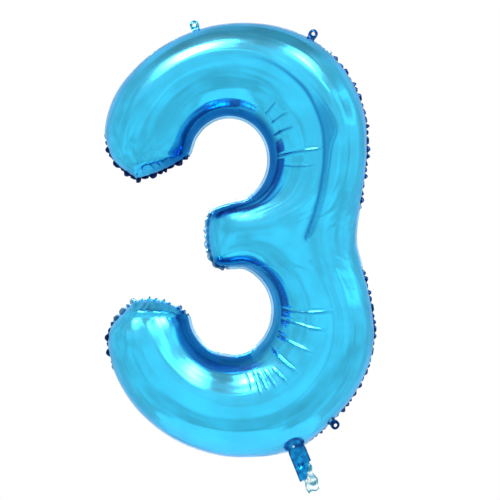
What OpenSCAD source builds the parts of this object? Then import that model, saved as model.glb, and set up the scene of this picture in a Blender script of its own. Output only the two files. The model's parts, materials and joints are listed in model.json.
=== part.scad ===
// Foil number balloon, a figure 3: two foil panels welded round one outline and blown up.
// The seam lies in the XZ plane, the front faces -Y and +Z is up, as the balloon hangs.
// The origin is the centre of the top left hanging hole.

/* [Inflated body] */
// Height of the inflated body from crown to foot
body_h = 848; // [600:8:1000]
// Full depth of the limbs, front to back
limb_depth = 176; // [140:2:190]
// Full depth of the middle arm near its tip
arm_depth = 112; // [90:2:124]
// Modelled thickness of a foil panel
foil_t = 0.6; // [0.4:0.1:1]

/* [Edge seal] */
// Width of the welded margin outside the inflated edge
seal_w = 6; // [4:0.5:7]
// Modelled thickness of the two welded foils
seal_t = 0.8; // [0.6:0.1:1.2]

/* [Hanging tabs] */
// Width of a tab, which is also the diameter of its round end
tab_w = 18; // [14:1:22]
// Distance from a tab's fold line to its hole
tab_reach = 9; // [7:0.5:12]
// Diameter of a hanging hole
hang_hole_d = 7; // [4:0.5:8]
// Tilt of the bottom tab out of the seam plane, in degrees
bottom_tab_tilt = 40; // [0:5:60]

/* [Neck and valve] */
// Width of the filling neck
neck_w = 36; // [30:1:40]
// Length of the neck outside the seal
neck_len = 60; // [40:2:100]
// Angle between the neck and straight down, in degrees
neck_lean = 22; // [20:1:24]
// Width of the clear valve films
valve_w = 25; // [18:1:28]
// Length of valve film that sticks out of the neck
valve_tip_len = 27; // [10:1:40]
// Length of the valve tongue inside the balloon
tongue_len = 90; // [60:5:110]
// Modelled thickness of one valve film
film_t = 0.3; // [0.2:0.05:0.4]

/* [Hidden] */

foil_blue = [0.16, 0.68, 0.90];
deep_blue = [0.02, 0.34, 0.66];
clear_film = [0.86, 0.94, 0.97, 0.5];
ink_grey = [0.55, 0.60, 0.64];

// The outline below is drawn for a body 848 high, about the middle of the figure.
drawn_h = 848;
k = body_h / drawn_h;
hang_hole = [-90, 424];
function place(p) = k * (p - hang_hole);

// Inner edges: two hollows, each an ellipse
function on_ellipse(centre, rx, rz, a) = centre + [rx * cos(a), rz * sin(a)];
function upper_hollow(a) = on_ellipse([-21, 157], 80, 87, a);
function lower_hollow(a) = on_ellipse([-18, -141], 85, 91, a);

// The neck weld bites a round notch into the outer edge; its angles start square to the neck
notch_centre = [110, -409];
notch_r = 15.5;
notch_turn = 25;
function notch(a) = on_ellipse(notch_centre, notch_r, notch_r, a + notch_turn);

// Ribs across the limb, from the upper end to the lower end: [inner edge, outer edge]
before_notch = [
    [[-104, 167], [-203, 121]],
    [upper_hollow(168), [-247, 157]],
    [upper_hollow(148), [-262, 218]],
    [upper_hollow(127), [-234, 298]],
    [upper_hollow(107), [-160, 372]],
    [upper_hollow(88), [-60, 416]],
    [upper_hollow(68), [48, 421]],
    [upper_hollow(48), [140, 391]],
    [upper_hollow(28), [204, 332]],
    [upper_hollow(8), [241, 255]],
    [upper_hollow(-14), [248, 178]],
    [upper_hollow(-38), [242, 112]],
    [upper_hollow(-64), [234, 66]],
    [[-21, 70], [229, 34]],
    [[-50, 58], [227, 14]],
    [[-63, 32], [227, 0]],
    [[-61, -20], [228, -14]],
    [[-48, -50], [231, -28]],
    [[-22, -54], [235, -42]],
    [lower_hollow(72), [240, -62]],
    [lower_hollow(52), [250, -98]],
    [lower_hollow(30), [258, -140]],
    [lower_hollow(8), [262, -190]],
    [lower_hollow(-14), [252, -245]],
    [lower_hollow(-34), [221, -307]],
    [lower_hollow(-51), [174, -362]],
    [lower_hollow(-62), [131, -399]]
];
at_notch = [
    [lower_hollow(-65), notch(5)],
    [lower_hollow(-68), notch(60)],
    [lower_hollow(-71), notch(120)],
    [lower_hollow(-74), notch(175)]
];
after_notch = [
    [lower_hollow(-78), [85, -418]],
    [lower_hollow(-92), [38, -425]],
    [lower_hollow(-112), [-42, -422]],
    [lower_hollow(-131), [-130, -390]],
    [lower_hollow(-149), [-202, -330]],
    [lower_hollow(-162), [-246, -254]],
    [lower_hollow(-171), [-255, -182]],
    [[-107, -150], [-211, -126]]
];
ribs = [for (r = concat(before_notch, at_notch, after_notch)) [place(r[0]), place(r[1])]];
plain_ribs = [for (r = concat(before_notch, after_notch)) [place(r[0]), place(r[1])]];

// How far the two end seams bulge past a straight line
upper_end_bulge = 6.5 * k;
lower_end_bulge = 14 * k;

// Catmull-Rom curve through a list of points, at a place that counts points from 0
function list_at(p, i) =
    i < 0 ? 2 * p[0] - p[1]
    : i > len(p) - 1 ? 2 * p[len(p) - 1] - p[len(p) - 2]
    : p[i];
function spline(p, t) =
    let (i = min(floor(t), len(p) - 2), f = t - i,
         a = list_at(p, i - 1), b = list_at(p, i), c = list_at(p, i + 1), d = list_at(p, i + 2))
    0.5 * (2 * b + (c - a) * f + (2 * a - 5 * b + 4 * c - d) * f * f
        + (3 * b - a - 3 * c + d) * f * f * f);

// Stations along the limb: crowded at both ends, three to a rib between them
function stations(last) = concat(
    [0, 0.04, 0.14, 0.32, 0.6],
    [for (s = [3 : 1 : 3 * (last - 1)]) s / 3],
    [last - 0.6, last - 0.32, last - 0.14, last - 0.04, last]);
// Places across the limb, crowded at both edges
across_n = 10;
across = [for (j = [0 : across_n]) (1 - cos(180 * j / across_n)) / 2];

// A point of the seam plane: t along the limb, v across it
function end_push(from, to, v, push) =
    let (d = (to - from) / norm(to - from)) push * 4 * v * (1 - v) * [-d[1], d[0]];
function limb_point(edges, t, v) =
    let (last = len(edges) - 1,
         inner = spline([for (r = edges) r[0]], t),
         outer = spline([for (r = edges) r[1]], t),
         near_start = pow(max(0, 1 - t), 2),
         near_end = pow(max(0, t - last + 1), 2))
    inner + (outer - inner) * v
        + end_push(edges[0][0], edges[0][1], v, upper_end_bulge * near_start)
        - end_push(edges[last][0], edges[last][1], v, lower_end_bulge * near_end);

// The outline as one closed loop
function outline(edges) =
    let (last = len(edges) - 1, s = stations(last), n = len(s) - 1)
    concat(
        [for (i = [0 : n]) limb_point(edges, s[i], 0)],
        [for (j = [1 : across_n - 1]) limb_point(edges, last, across[j])],
        [for (i = [n : -1 : 0]) limb_point(edges, s[i], 1)],
        [for (j = [across_n - 1 : -1 : 1]) limb_point(edges, 0, across[j])]);

// Height of the inflated skin over a point. Each bit of seam holds the skin down by its
// length over its distance squared, which gives a round tube over a straight limb.
function seam_pull(p, a, b) =
    let (u = a - p, v = b - p, turn = abs(u[0] * v[1] - u[1] * v[0]))
    atan2(turn, u * v) * PI / 180 * norm(b - a) / max(turn, 1e-4);
function total(list, i = 0, sum = 0) = i == len(list) ? sum : total(list, i + 1, sum + list[i]);
function smooth_step(x) = let (c = min(1, max(0, x))) c * c * (3 - 2 * c);

limb_half_w = 96 * k;
arm_half_w = 62 * k;
limb_round = pow(limb_depth / 2, 2) / limb_half_w;
arm_round = pow(arm_depth / 2, 2) / arm_half_w;
arm_centre = place([-30, 6]);
function roundness(p) =
    let (along = smooth_step((70 * k - (p[0] - arm_centre[0])) / (110 * k)),
         beside = 1 - smooth_step((abs(p[1] - arm_centre[1]) - 70 * k) / (60 * k)))
    limb_round + (arm_round - limb_round) * along * beside;
function skin_height(p, loop) =
    let (n = len(loop), pull = total([for (i = [0 : n - 1]) seam_pull(p, loop[i], loop[(i + 1) % n])]))
    sqrt(2 * PI * roundness(p) / pull);

// One skin of a panel as rows of [x, height, z]; inset shrinks it for the inside face
function inset_rib(t, v, inset) =
    let (a = limb_point(ribs, t, 0), b = limb_point(ribs, t, 1), w = norm(b - a))
    0.5 + (v - 0.5) * (1 - 2 * inset / w);
function skin(loop, inset) =
    let (last = len(ribs) - 1, s = stations(last), n = len(s) - 1,
         thin = 1 - inset / (limb_depth / 2),
         end_step = inset / (40 * k))
    [for (i = [0 : n])
        let (t = min(last - end_step, max(end_step, s[i])))
        [for (j = [0 : across_n])
            let (p = limb_point(ribs, t, inset_rib(t, across[j], inset)),
                 edge = i == 0 || i == n || j == 0 || j == across_n,
                 h = edge ? 0 : thin * skin_height(limb_point(ribs, s[i], across[j]), loop))
            [p[0], seal_t / 2 + h, p[1]]]];

// A closed shell from two skins: cells of both skins and a rim that lies on the seal
function cells(rows, cols, first, flip) =
    [for (i = [0 : rows - 2], j = [0 : cols - 2], half = [0, 1])
        let (a = first + i * cols + j, b = a + 1, c = a + cols + 1, d = a + cols,
             tri = half == 0 ? [a, b, c] : [a, c, d])
        flip ? [tri[0], tri[2], tri[1]] : tri];
function border(rows, cols) = concat(
    [for (j = [0 : cols - 1]) j],
    [for (i = [1 : rows - 1]) i * cols + cols - 1],
    [for (j = [cols - 2 : -1 : 0]) (rows - 1) * cols + j],
    [for (i = [rows - 2 : -1 : 1]) i * cols]);
function rim(loop, second) =
    let (n = len(loop))
    [for (i = [0 : n - 1], half = [0, 1])
        let (a = loop[i], b = loop[(i + 1) % n])
        half == 0 ? [a, b, a + second] : [b, b + second, a + second]];

module panel_shell() {
    loop = outline(ribs);
    outside = skin(loop, 0);
    inside = skin(loop, foil_t);
    rows = len(outside);
    cols = across_n + 1;
    count = rows * cols;
    points = concat([for (row = outside) each row], [for (row = inside) each row]);
    faces = concat(cells(rows, cols, 0, true), cells(rows, cols, count, false),
        rim(border(rows, cols), count));
    polyhedron(points, faces);
}

// Flat films stand in the seam plane: a drawing in X and Z gets thickness along Y
module film(thickness, y = 0) {
    translate([0, y, 0]) rotate([90, 0, 0]) linear_extrude(thickness, center = true) children();
}

module front_panel() { color(foil_blue) mirror([0, 1, 0]) panel_shell(); }
module back_panel() { color(foil_blue) panel_shell(); }

// The seal reaches a little way under the panels' rims, which rest on it
seal_lip = 1.2;
weld_r = 10.5;
module neck_weld_shape() {
    translate(place(notch_centre)) rotate(neck_lean) {
        circle(r = weld_r, $fn = 48);
        translate([-weld_r, -2 * seal_w]) square([2 * weld_r, 2 * seal_w]);
    }
}
module edge_seal() {
    color(deep_blue) film(seal_t) difference() {
        offset(r = seal_w, $fn = 24) polygon(outline(plain_ribs));
        offset(delta = -seal_lip) polygon(outline(ribs));
        neck_weld_shape();
    }
}
module neck_weld() {
    color(deep_blue) film(seal_t) intersection() {
        neck_weld_shape();
        offset(r = seal_w, $fn = 24) polygon(outline(plain_ribs));
    }
}

// Moving films start a little past their fold lines, which run clear of the part they fold on
past_fold = 0.3;

// Hanging tabs: [hole, lean away from straight up, tilt out of the seam plane]
tab_top_left = [hang_hole, 19, 0];
tab_top_right = [[145.1, 406.4], -29, 0];
tab_bottom_right = [[188.7, -366.7], -134, bottom_tab_tilt];
module hang_tab(spec) {
    fold_line = place(spec[0]) + tab_reach * cos(spec[2]) * [sin(spec[1]), -cos(spec[1])];
    color(deep_blue) translate([fold_line[0], 0, fold_line[1]]) rotate([0, -spec[1], 0])
        rotate([spec[2], 0, 0]) difference() {
            film(seal_t) {
                translate([-tab_w / 2, past_fold]) square([tab_w, tab_reach - past_fold]);
                translate([0, tab_reach]) circle(d = tab_w, $fn = 64);
            }
            translate([0, 0, tab_reach]) rotate([90, 0, 0])
                cylinder(d = hang_hole_d, h = 4 * seal_t, center = true, $fn = 48);
        }
}
module hang_tab_top_left() { hang_tab(tab_top_left); }
module hang_tab_top_right() { hang_tab(tab_top_right); }
module hang_tab_bottom_right() { hang_tab(tab_bottom_right); }

// Neck frame: origin at the notch's centre, Z down the neck, films parallel to the seam plane
module along_neck(down) {
    centre = place(notch_centre);
    translate([centre[0], 0, centre[1]]) rotate([0, 180 - neck_lean, 0]) translate([0, 0, down])
        children();
}
module strip(w, length, thickness, y) {
    film(thickness, y) translate([-w / 2, 0]) square([w, length]);
}

// Distances down the neck from the notch's centre, which sits just inside the plain outline
notch_sink = 0.6;
neck_fold = notch_sink + seal_w + 1.5;
neck_start = neck_fold + past_fold;
tip_fold = neck_start + neck_len + 0.8;
tongue_fold = notch_r + seal_lip + past_fold;

// Layers through the neck, from the middle out: ink, valve films, foils
layer_gap = 0.1;
ink_t = 0.1;
valve_y = ink_t / 2 + layer_gap + film_t / 2;
foil_y = valve_y + film_t / 2 + layer_gap + foil_t / 2;
front = -1;
back = 1;

module neck_foil(side) {
    color(foil_blue) along_neck(neck_start) strip(neck_w, neck_len, foil_t, side * foil_y);
}
module neck_front_foil() { neck_foil(front); }
module neck_back_foil() { neck_foil(back); }

// The neck's two long edges, where its foils are welded to each other
neck_weld_w = 3;
module neck_side_welds() {
    color(deep_blue) along_neck(neck_start) for (side = [-1, 1])
        translate([side * (neck_w - neck_weld_w) / 2, 0, 0])
            strip(neck_weld_w, neck_len, 2 * foil_y - foil_t, 0);
}

// The clear valve films lie inside the neck, with release ink between them
module valve_film(side) {
    color(clear_film) along_neck(neck_start) strip(valve_w, neck_len - 1, film_t, side * valve_y);
}
module valve_front_film() { valve_film(front); }
module valve_back_film() { valve_film(back); }
module valve_release_ink() {
    color(ink_grey) along_neck(neck_start) strip(valve_w / 3, neck_len / 2, ink_t, 0);
}

// The films run on past the neck as a limp tip, and into the balloon as a tongue
module valve_tip(side) {
    color(clear_film) along_neck(tip_fold + past_fold)
        strip(valve_w, valve_tip_len, film_t, side * valve_y);
}
module valve_tip_front_film() { valve_tip(front); }
module valve_tip_back_film() { valve_tip(back); }
module valve_tongue(side) {
    color(clear_film) along_neck(-tongue_fold - past_fold - tongue_len)
        strip(valve_w, tongue_len, film_t, side * valve_y);
}
module valve_tongue_front_film() { valve_tongue(front); }
module valve_tongue_back_film() { valve_tongue(back); }

front_panel();
back_panel();
edge_seal();
neck_weld();
hang_tab_top_left();
hang_tab_top_right();
hang_tab_bottom_right();
neck_front_foil();
neck_back_foil();
neck_side_welds();
valve_front_film();
valve_back_film();
valve_release_ink();
valve_tip_front_film();
valve_tip_back_film();
valve_tongue_front_film();
valve_tongue_back_film();
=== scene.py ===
import json
import math

import bpy
import numpy as np
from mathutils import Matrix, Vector


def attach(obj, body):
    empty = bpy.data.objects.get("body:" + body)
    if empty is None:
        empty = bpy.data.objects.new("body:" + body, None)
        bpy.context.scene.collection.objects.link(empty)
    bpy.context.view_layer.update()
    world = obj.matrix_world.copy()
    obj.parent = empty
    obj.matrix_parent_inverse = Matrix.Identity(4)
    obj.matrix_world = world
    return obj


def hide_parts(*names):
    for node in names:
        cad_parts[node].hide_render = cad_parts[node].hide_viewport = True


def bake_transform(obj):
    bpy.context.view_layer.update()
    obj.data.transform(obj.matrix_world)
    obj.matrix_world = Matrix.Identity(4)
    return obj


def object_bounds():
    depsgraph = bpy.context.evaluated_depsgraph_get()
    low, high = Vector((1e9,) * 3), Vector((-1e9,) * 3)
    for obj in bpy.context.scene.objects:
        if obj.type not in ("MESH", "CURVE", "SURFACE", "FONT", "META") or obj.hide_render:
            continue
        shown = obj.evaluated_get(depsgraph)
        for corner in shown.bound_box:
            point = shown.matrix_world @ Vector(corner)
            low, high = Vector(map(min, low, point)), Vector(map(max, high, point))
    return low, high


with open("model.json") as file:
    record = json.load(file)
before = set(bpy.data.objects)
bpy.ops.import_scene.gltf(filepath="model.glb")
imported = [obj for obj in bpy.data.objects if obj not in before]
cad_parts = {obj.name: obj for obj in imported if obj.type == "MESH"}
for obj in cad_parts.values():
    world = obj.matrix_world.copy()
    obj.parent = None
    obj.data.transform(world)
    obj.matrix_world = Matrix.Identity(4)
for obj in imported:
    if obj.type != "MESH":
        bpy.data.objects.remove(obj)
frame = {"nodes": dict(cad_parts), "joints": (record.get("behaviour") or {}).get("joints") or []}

cad_low, cad_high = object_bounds()
MM = 0.001


# ---------------------------------------------------------------- outline of the figure, in mm
# The ribs repeat the frame's own outline, drawn about the figure's middle.
HANG_HOLE = np.array([-90.0, 424.0])
# Where the neck leaves the limb the outline has a round notch
NOTCH_CENTRE = np.array([110.0, -409.0])
NOTCH_RADIUS, NOTCH_TURN = 15.5, 25
# The two hollows are ellipses: middle x and z, radius along x and along z
UPPER_HOLLOW = (-21, 157, 80, 87)
LOWER_HOLLOW = (-18, -141, 85, 91)


def on_ellipse(ellipse, degrees):
    x, z, x_radius, z_radius = ellipse
    a = math.radians(degrees)
    return (x + x_radius * math.cos(a), z + z_radius * math.sin(a))


def upper(degrees):
    return on_ellipse(UPPER_HOLLOW, degrees)


def lower(degrees):
    return on_ellipse(LOWER_HOLLOW, degrees)


def notch(degrees):
    return on_ellipse((*NOTCH_CENTRE, NOTCH_RADIUS, NOTCH_RADIUS), degrees + NOTCH_TURN)


# Each rib crosses the limb from its inner to its outer edge, from the upper end to the lower end
RIBS = [
    ((-104, 167), (-203, 121)), (upper(168), (-247, 157)), (upper(148), (-262, 218)),
    (upper(127), (-234, 298)), (upper(107), (-160, 372)), (upper(88), (-60, 416)),
    (upper(68), (48, 421)), (upper(48), (140, 391)), (upper(28), (204, 332)),
    (upper(8), (241, 255)), (upper(-14), (248, 178)), (upper(-38), (242, 112)),
    (upper(-64), (234, 66)), ((-21, 70), (229, 34)), ((-50, 58), (227, 14)),
    ((-63, 32), (227, 0)), ((-61, -20), (228, -14)), ((-48, -50), (231, -28)),
    ((-22, -54), (235, -42)), (lower(72), (240, -62)), (lower(52), (250, -98)),
    (lower(30), (258, -140)), (lower(8), (262, -190)), (lower(-14), (252, -245)),
    (lower(-34), (221, -307)), (lower(-51), (174, -362)), (lower(-62), (131, -399)),
    (lower(-65), notch(5)), (lower(-68), notch(60)), (lower(-71), notch(120)),
    (lower(-74), notch(175)), (lower(-78), (85, -418)), (lower(-92), (38, -425)),
    (lower(-112), (-42, -422)), (lower(-131), (-130, -390)), (lower(-149), (-202, -330)),
    (lower(-162), (-246, -254)), (lower(-171), (-255, -182)), ((-107, -150), (-211, -126)),
]
# The last rib before the notch and the first one after it
BEFORE_NOTCH, AFTER_NOTCH = 26, 31
UPPER_END_BULGE, LOWER_END_BULGE = 6.5, 14.0
SEAL_HALF_T = 0.4
LAST = len(RIBS) - 1


def spline(points, t):
    """Catmull-Rom curve through points, at places t that count points from 0."""
    p = np.array(points, float)
    p = np.vstack([2 * p[0] - p[1], p, 2 * p[-1] - p[-2]])
    i = np.clip(np.floor(t).astype(int), 0, len(points) - 2)
    f = (t - i)[:, None]
    a, b, c, d = p[i], p[i + 1], p[i + 2], p[i + 3]
    return 0.5 * (2 * b + (c - a) * f + (2 * a - 5 * b + 4 * c - d) * f**2
                  + (3 * b - a - 3 * c + d) * f**3)


INNER = [r[0] for r in RIBS]
OUTER = [r[1] for r in RIBS]


def end_push(rib, v, push):
    """How far an end seam bulges past its straight line, at places v across the limb."""
    a, b = np.array(rib, float)
    d = (b - a) / np.linalg.norm(b - a)
    return (push[:, None] * (4 * v * (1 - v))[None, :])[..., None] * np.array([-d[1], d[0]])


def limb_points(t, v):
    """Grid of seam-plane points: t along the limb, v across it from inner to outer edge."""
    inner, outer = spline(INNER, t), spline(OUTER, t)
    grid = inner[:, None] + (outer - inner)[:, None] * v[None, :, None]
    grid += end_push(RIBS[0], v, UPPER_END_BULGE * np.clip(1 - t, 0, 1) ** 2)
    grid -= end_push(RIBS[-1], v, LOWER_END_BULGE * np.clip(t - LAST + 1, 0, 1) ** 2)
    return grid


def smooth_step(x):
    c = np.clip(x, 0, 1)
    return c * c * (3 - 2 * c)


def even_stations(count):
    """Places along the limb, even by distance and a little crowded at the two end seams."""
    t = np.linspace(0, LAST, 8000)
    middle, outer = limb_points(t, np.array([0.5, 1.0])).transpose(1, 0, 2)
    step = 0.4 * np.linalg.norm(np.diff(middle, axis=0), axis=1)
    step += 0.6 * np.linalg.norm(np.diff(outer, axis=0), axis=1)
    length = np.concatenate([[0], np.cumsum(step)])
    length /= length[-1]
    return np.interp(np.linspace(0, 1, count), length, t)


# The skin's grid: ribs along the limb and steps across it, both closer together beside a seam
ALONG, ACROSS = ((800, 120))
T = even_stations(ALONG)
# More ribs crowd in just before each end seam
END_CROWD = np.array([0.01, 0.04, 0.09, 0.16, 0.25, 0.36, 0.5, 0.66, 0.84]) * T[3]
T = np.unique(np.concatenate([T, END_CROWD, LAST - (LAST - T[-4]) * END_CROWD / T[3]]))
V = (1 - np.cos(np.pi * np.arange(ACROSS + 1) / ACROSS)) / 2
FLAT = limb_points(T, V)


def plain_outer():
    """Points of the outer edge with the neck's notch left out."""
    points = np.array(OUTER, float)
    gap = points[AFTER_NOTCH] - points[BEFORE_NOTCH]
    for rib in range(BEFORE_NOTCH + 1, AFTER_NOTCH):
        points[rib] = points[BEFORE_NOTCH] + gap * (rib - BEFORE_NOTCH) / (AFTER_NOTCH - BEFORE_NOTCH)
    return points


# The closed outline without the notch, by which the skin is blown up
OUTLINE = np.vstack([FLAT[:, 0], FLAT[-1, 1:-1], spline(plain_outer(), T)[::-1], FLAT[0, -2:0:-1]])


# ---------------------------------------------------------------- height of the inflated skin
# Between parallel seams the skin's height squared is this much times half the distance between them
LIMB_ROUND = 88.0**2 / 96
ARM_ROUND = 56.0**2 / 62
# Round a bend the fattest line of the limb moves outwards by this share of its half width
BEND_SKEW = 0.15
# Beside each end seam the skin stands up in a steep gathered wall this much higher
UPPER_SHOULDER, LOWER_SHOULDER = 0.06, 0.16
# How steeply the skin rises from the edge of the neck's weld
WALL_SLOPE = 14


def running_length(points):
    return np.concatenate([[0], np.cumsum(np.linalg.norm(np.diff(points, axis=0), axis=1))])


MIDDLE_RUN = running_length(FLAT[:, ACROSS // 2])
RIB_WIDTH = np.linalg.norm(FLAT[:, -1] - FLAT[:, 0], axis=1)
# Width of the limb with the neck's notch left out
BESIDE_NOTCH = (T < BEFORE_NOTCH - 0.1) | (T > AFTER_NOTCH + 1.1)
PLAIN_WIDTH = np.interp(T, T[BESIDE_NOTCH], RIB_WIDTH[BESIDE_NOTCH])
# Distance of every grid point from the nearest end seam, along the limb's middle line
END_DISTANCE = np.minimum(MIDDLE_RUN, MIDDLE_RUN[-1] - MIDDLE_RUN)[:, None] * np.ones(len(V))


def seam_pull(points, loop):
    """Sum over the seam of its length over its distance squared."""
    a, b = loop, np.roll(loop, -1, axis=0)
    length = np.linalg.norm(b - a, axis=1)
    keep = length > 1e-6
    a, b, length = a[keep], b[keep], length[keep]
    pull = np.empty(len(points))
    for start in range(0, len(points), 2048):
        p = points[start:start + 2048, None]
        ux, uz = (a - p)[..., 0], (a - p)[..., 1]
        wx, wz = (b - p)[..., 0], (b - p)[..., 1]
        turn = np.abs(ux * wz - uz * wx)
        angle = np.arctan2(turn, ux * wx + uz * wz)
        pull[start:start + 2048] = (angle * length / np.maximum(turn, 1e-6)).sum(1)
    return pull


def roundness(p):
    """LIMB_ROUND everywhere but on the flatter arm, which lies left of the figure's middle."""
    along = smooth_step((40 - p[..., 0]) / 110)
    beside = 1 - smooth_step((np.abs(p[..., 1] - 6) - 70) / 60)
    return LIMB_ROUND + (ARM_ROUND - LIMB_ROUND) * along * beside


def skin_heights(flat):
    """Half the balloon's thickness at each point of the grid."""
    height = np.zeros(flat.shape[:2])
    inside = flat[1:-1, 1:-1]
    pull = seam_pull(inside.reshape(-1, 2), OUTLINE)
    height[1:-1, 1:-1] = np.sqrt(2 * np.pi * roundness(inside) / pull.reshape(inside.shape[:2]))
    # The skew of the bends nearly goes where the arm joins them
    bend = 1 - 0.9 * smooth_step((T - 9.5) / 4) * (1 - smooth_step((T - 19) / 4))
    size = np.where(T < LAST / 2, UPPER_SHOULDER, LOWER_SHOULDER)[:, None]
    shoulder = size * np.exp(-((END_DISTANCE - 17) / 8) ** 2)
    from_inner = V[None, :] * RIB_WIDTH[:, None]
    place = 2 * from_inner / PLAIN_WIDTH[:, None] - 1
    flank = np.sqrt((from_inner + 0.01) / (from_inner + 0.01 + 7 * np.exp(-from_inner / 14)))
    height = height * flank * (1 + shoulder + BEND_SKEW * bend[:, None] * place)
    # The neck's weld holds the skin down, and it rises steeply from the weld's edge
    from_weld = np.linalg.norm(flat - NOTCH_CENTRE, axis=-1) - NOTCH_RADIUS
    wall = WALL_SLOPE * np.maximum(from_weld, 0) + 0.01
    return (np.maximum(height, 1e-6) ** -3 + wall ** -3.0) ** (-1 / 3) * (height > 0)


HEIGHT = skin_heights(FLAT)


def to_frame(x, y, z):
    """Figure coordinates in mm to the frame's metres."""
    return np.stack(np.broadcast_arrays(x - HANG_HOLE[0], y, z - HANG_HOLE[1]), -1) * MM


# ---------------------------------------------------------------- seam: where it is gathered
def bump_between(x, low, high, soft):
    """1 between two places and 0 outside them, with soft steps."""
    return smooth_step((x - low) / soft) * (1 - smooth_step((x - high + soft) / soft))


def gather_outer(t):
    """0 where the outer seam lies smooth, 1 where it is gathered into beads; t counts ribs."""
    parts = (bump_between(t, 7.0, 12.4, 0.7) + bump_between(t, 18.4, 26.0, 0.8)
             + bump_between(t, -1, 2.0, 0.5) + bump_between(t, LAST - 2.2, LAST + 1, 0.5))
    return np.clip(parts, 0.04, 1)


def gather_inner(t):
    """The same for the inner seam: only the arm's tip and the corners of the two ends."""
    parts = 0.75 * bump_between(t, 14.0, 18.2, 0.5) + bump_between(t, -1, 0.45, 0.4)
    return np.clip(parts + bump_between(t, LAST - 0.8, LAST + 1, 0.4), 0.04, 1)


def wander(x, seed, scale):
    """Smooth repeatable noise along a line, about -1 to 1, with features scale long."""
    draw = np.random.default_rng(seed)
    total = np.zeros_like(x, float)
    for octave in range(4):
        wave = scale / 1.7**octave * draw.uniform(0.8, 1.25)
        total += np.sin(2 * np.pi * (x / wave + draw.uniform())) / 1.4**octave
    return total / 2.2


BEAD_PITCH = 14.5
BEAD_MEAN = 0.7
# Seeds of the bead patterns of the four stretches of seam
OUTER_BEADS, INNER_BEADS, UPPER_END_BEADS, LOWER_END_BEADS = 5, 6, 9, 8


def bead_phase(a, seed):
    """Turns of the bead pattern along a seam, with the pitch wandering."""
    return 2 * np.pi * (a / BEAD_PITCH + 0.35 * wander(a, seed, 70))


def beads(phase):
    """Rounded lobes between sharp pinches, from 0 at a pinch to 1."""
    return np.abs(np.sin(phase / 2)) ** 0.75


# ---------------------------------------------------------------- creases on the front
def along_path(points, path):
    """Signed distance from a path, and the share of the path's length at the nearest point."""
    path = np.array(path, float)
    lengths = running_length(path)
    best = np.full(len(points), 1e9)
    side = np.zeros(len(points))
    share = np.zeros(len(points))
    for k in range(len(path) - 1):
        a, d = path[k], path[k + 1] - path[k]
        f = np.clip(((points - a) @ d) / (d @ d), 0, 1)
        off = points - (a + f[:, None] * d)
        dist = np.linalg.norm(off, axis=1)
        closer = dist < best
        best = np.where(closer, dist, best)
        cross = d[0] * off[:, 1] - d[1] * off[:, 0]
        side = np.where(closer, np.sign(cross), side)
        share = np.where(closer, (lengths[k] + f * np.linalg.norm(d)) / lengths[-1], share)
    return best * side, share


def fold_distance(path, points):
    """The same from a smooth curve through the path's points."""
    t = np.linspace(0, len(path) - 1, 12 * (len(path) - 1) + 1)
    return along_path(points, spline(path, t))


def crease(points, path, width, depth):
    """A pinched fold: a groove with a low ridge on one side, fading to both ends."""
    dist, share = fold_distance(path, points)
    u = dist / width
    groove = -np.exp(-np.abs(u) ** 1.5) + FOLD_RIDGE * np.exp(-((u - 1.3) ** 2))
    taper = smooth_step(share / FOLD_FADE) * smooth_step((1 - share) / FOLD_FADE)
    reach = np.exp(-np.clip(np.abs(u) - 4, 0, None) ** 2)
    return depth * groove * taper * reach


# A fold's ridge against its groove's depth, and the share of its length over which each end fades
FOLD_RIDGE, FOLD_FADE = 0.75, 0.3
# Each fold: points of its line in the figure's mm, width, depth
FOLDS = [
    ([(60, 155), (96, 165), (132, 171), (170, 175)], 2.6, 1.9),
    ([(64, 198), (84, 210), (106, 218)], 2.6, 1.6),
    ([(76, 143), (110, 140), (148, 142)], 2.2, 0.9),
    ([(58, 222), (76, 236), (94, 246)], 2.2, 0.9),
    ([(46, 238), (60, 254), (72, 268)], 2.2, 0.8),
    ([(70, -130), (110, -140), (150, -140), (186, -136)], 2.6, 1.8),
    ([(68, -150), (108, -162), (140, -171), (174, -176)], 2.8, 1.9),
    ([(62, -178), (94, -197), (120, -209), (146, -222)], 2.8, 1.9),
    ([(54, -204), (78, -229), (98, -246), (116, -260)], 2.8, 1.8),
    ([(62, -246), (82, -266), (95, -279)], 2.3, 1.3),
    ([(47, -250), (61, -271), (71, -288)], 2.2, 1.3),
    ([(35, -254), (46, -275), (53, -292)], 2.2, 1.2),
    ([(24, -252), (34, -276), (42, -302)], 2.2, 1.2),
    ([(11, -256), (18, -276), (22, -294)], 2.1, 0.8),
]
# The long fold that runs with the limb, from the crown to the arm's root, and its softer far edge.
# The foil between the two gets painted shade: its colour is made deeper.
LONG_FOLD = [(-22, 350), (30, 347), (62, 337), (92, 318), (124, 288), (144, 254), (158, 215), (162, 180),
             (161, 140), (154, 95), (144, 55), (135, 28), (124, -5)]
LONG_FOLD_EDGE = [(128, 305), (162, 262), (186, 216), (177, 176), (171, 132), (162, 83), (148, 33),
                  (138, 10), (124, -5)]
LONG_FOLD_WIDTH = 34


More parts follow.
